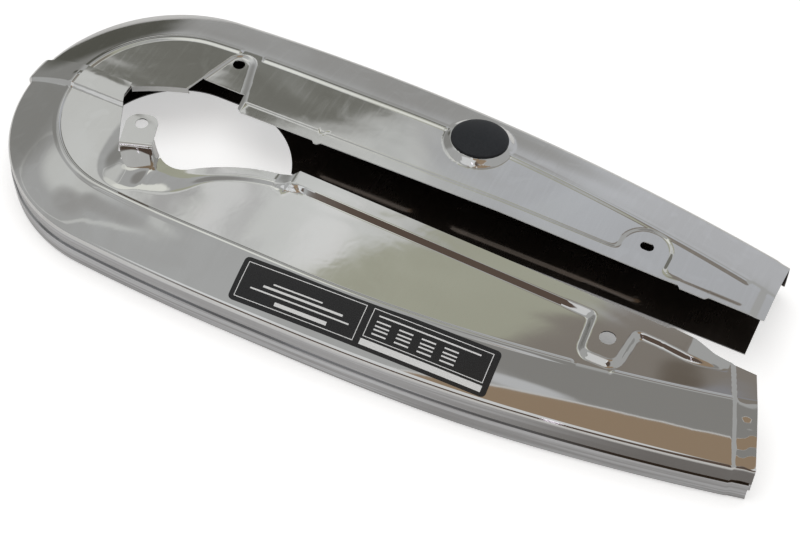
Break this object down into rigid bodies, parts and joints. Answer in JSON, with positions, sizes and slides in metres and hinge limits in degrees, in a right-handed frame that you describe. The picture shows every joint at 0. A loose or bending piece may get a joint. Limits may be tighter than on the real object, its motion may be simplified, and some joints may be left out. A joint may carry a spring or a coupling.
{
  "type": "motorcycle chain case",
  "caption": "Fully enclosed pressed-steel motorcycle chain case in two plated halves with a rubber inspection plug, a rear fixing tab and slotted front fixings.",
  "frame": {"origin": "the rear axle line, at the middle of the round rear end, on the wheel-side face", "axes": "+X to the open front end, +Y to the lower half with the inspection plug, +Z out of the outer face"},
  "size_m": [0.5869, 0.2366, 0.065],
  "materials": {
    "chrome_plate": "bright nickel plate over pressed steel, with polishing haze",
    "plug_rubber": "satin moulded rubber",
    "label_vinyl": "printed vinyl, semi-gloss"
  },
  "bodies": {
    "root": {"upper_outer_panel": "chrome_plate", "upper_inner_panel": "chrome_plate", "lower_outer_panel": "chrome_plate", "lower_inner_panel": "chrome_plate", "inspection_plug": "plug_rubber", "label": "label_vinyl"}
  },
  "joints": []
}
